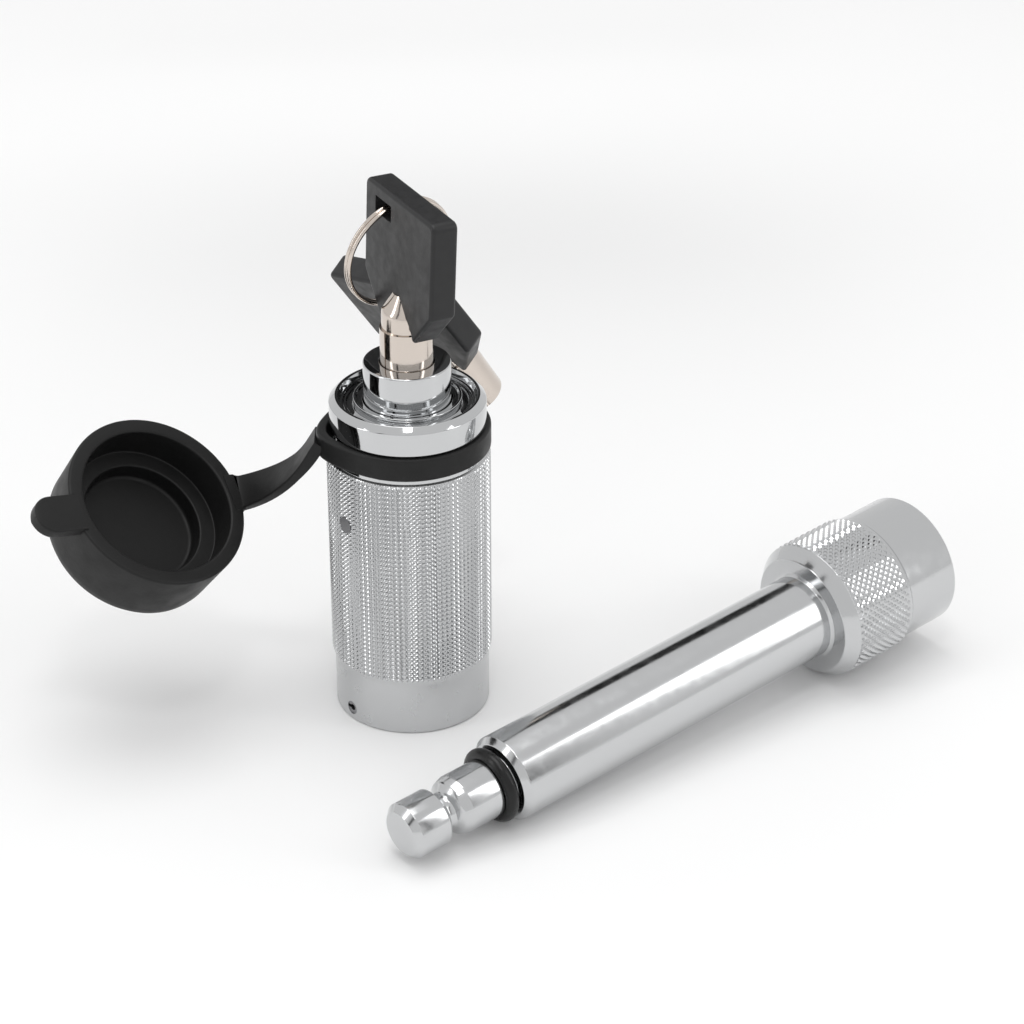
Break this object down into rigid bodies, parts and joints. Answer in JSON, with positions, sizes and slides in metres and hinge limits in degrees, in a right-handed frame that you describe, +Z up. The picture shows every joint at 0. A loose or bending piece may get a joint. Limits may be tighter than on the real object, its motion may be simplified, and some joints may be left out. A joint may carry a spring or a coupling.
{
  "type": "hitch pin lock",
  "caption": "Keyed push-on barrel lock with rubber dust cap on a strap, tubular keys on a split ring, and a loose hitch pin with grooved locking tip, O-ring and knurled head.",
  "frame": {"origin": "on the lock barrel's axis at the mouth of the socket that takes the pin's locking tip; the barrel stands on this end", "axes": "+Z up the barrel's axis towards the key, +X along the loose pin in plan towards its knurled head, +Y away from the loose pin"},
  "size_m": [0.151, 0.0982, 0.0999],
  "materials": {
    "satin_chrome": "satin chrome plate over knurling",
    "bright_chrome": "polished chrome plate",
    "nickel": "nickel plate, lightly worn",
    "steel": "machined steel",
    "spring_steel": "drawn wire",
    "brass": "turned brass",
    "black_plastic": "moulded satin black",
    "black_rubber": "soft matte black"
  },
  "bodies": {
    "barrel_body": {"barrel": "satin_chrome", "guide_bush": "satin_chrome", "ball_cage": "steel", "stop_pin": "steel", "base_pin": "spring_steel", "return_spring": "spring_steel"},
    "plunger": {"locking_sleeve": "steel", "lock_cylinder": "bright_chrome", "tumbler_housing": "brass", "housing_pin": "steel", "driver_pins": "brass", "tumbler_springs": "spring_steel", "latch_spring": "spring_steel"},
    "ball_a": {"locking_ball_1": "steel"},
    "ball_b": {"locking_ball_2": "steel"},
    "ball_c": {"locking_ball_3": "steel"},
    "latch": {"latch_bolt": "steel"},
    "plug": {"rotor": "bright_chrome", "key_pins": "brass", "latch_cam": "steel", "cam_clip": "spring_steel"},
    "key": {"key_blade": "nickel", "key_bow": "black_plastic"},
    "key_ring": {"split_ring": "nickel"},
    "spare_key": {"spare_key_blade": "nickel", "spare_key_bow": "black_plastic"},
    "band": {"cap_band": "black_rubber"},
    "strap": {"cap_strap": "black_rubber"},
    "cap": {"dust_cap": "black_rubber"},
    "loose_pin": {"hitch_pin": "bright_chrome", "pin_o_ring": "black_rubber"}
  },
  "joints": [
    {"name": "plunger_push", "type": "slide", "parent": "barrel_body", "child": "plunger", "axis": [0, 0, 1], "range_m": [-0.0045, 0], "stiffness_N_per_m": 1500, "springref_m": 0.004, "deforming": ["return_spring"]},
    {"name": "latch_slide", "type": "slide", "parent": "plunger", "child": "latch", "axis": [1, 0, 0], "range_m": [0, 0.001]},
    {"name": "key_turn", "type": "hinge", "parent": "plunger", "child": "plug", "pos_m": [0, 0, 0.06], "axis": [0, 0, 1], "range_deg": [-90, 0]},
    {"name": "key_lift", "type": "slide", "parent": "plug", "child": "key", "axis": [0, 0, 1], "range_m": [0, 0.03]},
    {"name": "ring_swing", "type": "hinge", "parent": "key", "child": "key_ring", "pos_m": [0.00196, 0.00502, 0.09625], "axis": [-0.9783, 0.1167, -0.1713], "range_deg": [-1.5, 1]},
    {"name": "spare_swing", "type": "hinge", "parent": "key_ring", "child": "spare_key", "pos_m": [0.00785, 0.00876, 0.07665], "axis": [0.9248, -0.1507, 0.3493], "range_deg": [-2, 2]},
    {"name": "cap_swivel", "type": "hinge", "parent": "barrel_body", "child": "band", "pos_m": [0, 0, 0.0546], "axis": [0, 0, 1], "range_deg": [-60, 90]},
    {"name": "strap_flex", "type": "hinge", "parent": "band", "child": "strap", "pos_m": [-0.01438, 0.00864, 0.05319], "axis": [0.4929, 0.8302, -0.2605], "range_deg": [0, 28], "stiffness_Nm_per_rad": 0.02},
    {"name": "cap_flex", "type": "hinge", "parent": "strap", "child": "cap", "pos_m": [-0.02174, 0.02167, 0.041], "axis": [0.1837, 0.7914, 0.5831], "range_deg": [0, 15], "stiffness_Nm_per_rad": 0.02},
    {"name": "pin_lift", "type": "slide", "parent": "barrel_body", "child": "loose_pin", "axis": [0, 0, 1], "range_m": [0, 0.11]},
    {"name": "ball_a_slide", "type": "slide", "parent": "barrel_body", "child": "ball_a", "axis": [0.5, 0.866, 0], "range_m": [-0.00185, 0]},
    {"name": "ball_b_slide", "type": "slide", "parent": "barrel_body", "child": "ball_b", "axis": [-1, 0, 0], "range_m": [-0.00185, 0]},
    {"name": "ball_c_slide", "type": "slide", "parent": "barrel_body", "child": "ball_c", "axis": [0.5, -0.866, 0], "range_m": [-0.00185, 0]}
  ],
  "couplings": [
    {"joint": "latch_slide", "follows": "key_turn", "m_per_rad": -0.00063662},
    {"joint": "ball_a_slide", "follows": "plunger_push", "ratio": 0.41111},
    {"joint": "ball_b_slide", "follows": "plunger_push", "ratio": 0.41111},
    {"joint": "ball_c_slide", "follows": "plunger_push", "ratio": 0.41111}
  ]
}
